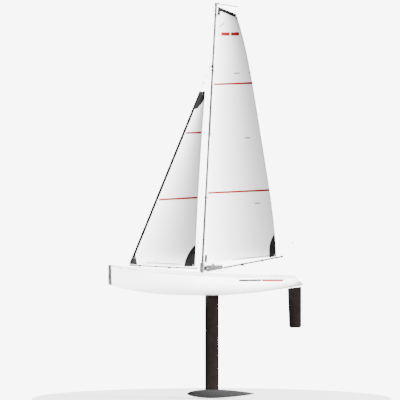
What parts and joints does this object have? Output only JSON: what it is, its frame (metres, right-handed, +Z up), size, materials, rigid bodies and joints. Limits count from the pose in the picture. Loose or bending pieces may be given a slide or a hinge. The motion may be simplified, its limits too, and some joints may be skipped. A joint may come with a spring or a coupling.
{
  "type": "radio-controlled racing yacht",
  "caption": "Radio-controlled model racing yacht with a fin keel and ballast bulb, raked mast, main and jib on swinging booms, steerable rudder and internal radio gear.",
  "frame": {"origin": "lowest point of the hull on its centreline, at the middle of the keel fin, where a boat stand's cradle carries the hull", "axes": "+X towards the stern, +Y to starboard, +Z up the mast"},
  "size_m": [0.65, 0.116, 1.3205],
  "materials": {
    "hull_white": "glossy moulded",
    "deck_white": "satin moulded",
    "black_rubber": "soft matt",
    "black_blade": "satin moulded, very dark",
    "lead_grey": "satin painted lead",
    "mast_grey": "dark anodised tube, satin",
    "steel": "bright",
    "alloy": "satin",
    "black_fitting": "matt moulded",
    "grey_fitting": "matt moulded",
    "white_nylon": "matt moulded",
    "tray_plastic": "matt moulded",
    "servo_black": "fine texture",
    "cell_blue": "shrink sleeve",
    "red_knob": "moulded",
    "sail_film": "crisp white sail film",
    "sail_patch": "black adhesive cloth",
    "line_white": "fine braided line",
    "foam_grey": "closed foam"
  },
  "bodies": {
    "hull": {"hull_shell": "hull_white", "deck": "deck_white", "bow_bumper": "black_rubber", "keel_box": "tray_plastic", "keel_fin": "black_blade", "keel_rod": "steel", "keel_nut": "steel", "ballast_bulb": "lead_grey", "bulb_bolt": "steel", "mast_step": "black_fitting", "mast_lower": "mast_grey", "mast_joiner": "alloy", "mast_upper": "mast_grey", "masthead_cap": "black_fitting", "crane_rod": "mast_grey", "hounds_fitting": "black_fitting", "mast_stop_ring": "black_fitting", "backstay": "line_white", "backstay_bowsie": "black_fitting", "deck_eyes": "steel", "sheet_bushes": "grey_fitting", "jib_pivot_seat": "grey_fitting", "rudder_tube": "grey_fitting", "radio_tray": "tray_plastic", "sail_servo": "servo_black", "rudder_servo": "servo_black", "servo_screws": "steel", "battery_box": "servo_black", "battery_cells": "cell_blue", "receiver": "servo_black", "switch_body": "servo_black", "hatch_seal": "foam_grey", "main_sheet": "line_white", "jib_sheet": "line_white"},
    "hatch": {"hatch_lid": "deck_white"},
    "bung": {"drain_plug": "black_rubber"},
    "main_rig": {"gooseneck_collar": "black_fitting", "vang_body": "grey_fitting", "gooseneck_pin": "steel", "main_boom": "mast_grey", "main_boom_fittings": "black_fitting", "luff_rings": "black_fitting", "main_sail": "sail_film", "main_sail_patches": "sail_patch", "main_sheet_bowsie": "black_fitting"},
    "vang_wheel_body": {"vang_wheel": "black_fitting"},
    "jib_rig": {"jib_boom": "mast_grey", "jib_boom_fittings": "black_fitting", "jib_swivels": "steel", "jib_sail": "sail_film", "jib_luff_sleeve": "sail_patch", "jib_sail_patches": "sail_patch", "jib_lines": "line_white"},
    "rudder": {"rudder_blade": "black_blade", "rudder_stock": "steel", "rudder_horn": "white_nylon"},
    "rudder_servo_arm": {"servo_horn": "white_nylon"},
    "pushrod": {"rudder_pushrod": "steel"},
    "sail_winch_arm": {"sail_arm": "white_nylon"},
    "switch_knob": {"switch_slider": "red_knob"}
  },
  "joints": [
    {"name": "main_swing", "type": "hinge", "parent": "hull", "child": "main_rig", "pos_m": [-0.033, 0, 0.07894], "axis": [0.053, 0, 0.9986], "range_deg": [-80, 80], "deforming": ["main_sheet"]},
    {"name": "jib_swing", "type": "hinge", "parent": "hull", "child": "jib_rig", "pos_m": [-0.24, 0, 0.09454], "axis": [0.3298, 0, 0.9441], "range_deg": [-75, 75], "deforming": ["jib_sheet"]},
    {"name": "vang_wheel_turn", "type": "hinge", "parent": "main_rig", "child": "vang_wheel_body", "pos_m": [0.00465, 0, 0.10074], "axis": [0, 0, 1], "continuous": true},
    {"name": "hatch_lift", "type": "slide", "parent": "hull", "child": "hatch", "axis": [0, 0, 1], "range_m": [0, 0.022]},
    {"name": "drain_plug_pull", "type": "slide", "parent": "hull", "child": "bung", "axis": [0, 0, 1], "range_m": [0, 0.01]},
    {"name": "rudder_servo_turn", "type": "hinge", "parent": "hull", "child": "rudder_servo_arm", "pos_m": [0.193, 0, 0.047], "axis": [0, 0, 1], "range_deg": [-35, 35]},
    {"name": "rudder_turn", "type": "hinge", "parent": "hull", "child": "rudder", "pos_m": [0.265, 0, 0.03], "axis": [0, 0, 1], "range_deg": [-35, 35]},
    {"name": "pushrod_turn", "type": "hinge", "parent": "rudder_servo_arm", "child": "pushrod", "pos_m": [0.193, 0.012, 0.048], "axis": [0, 0, 1], "range_deg": [-35, 35]},
    {"name": "sail_arm_turn", "type": "hinge", "parent": "hull", "child": "sail_winch_arm", "pos_m": [0.05, 0, 0.046], "axis": [0, 0, 1], "range_deg": [-100, 0]},
    {"name": "power_switch_slide", "type": "slide", "parent": "hull", "child": "switch_knob", "axis": [1, 0, 0], "range_m": [0, 0.004]}
  ],
  "couplings": [
    {"joint": "rudder_turn", "follows": "rudder_servo_turn", "ratio": 1},
    {"joint": "pushrod_turn", "follows": "rudder_servo_turn", "ratio": -1}
  ]
}
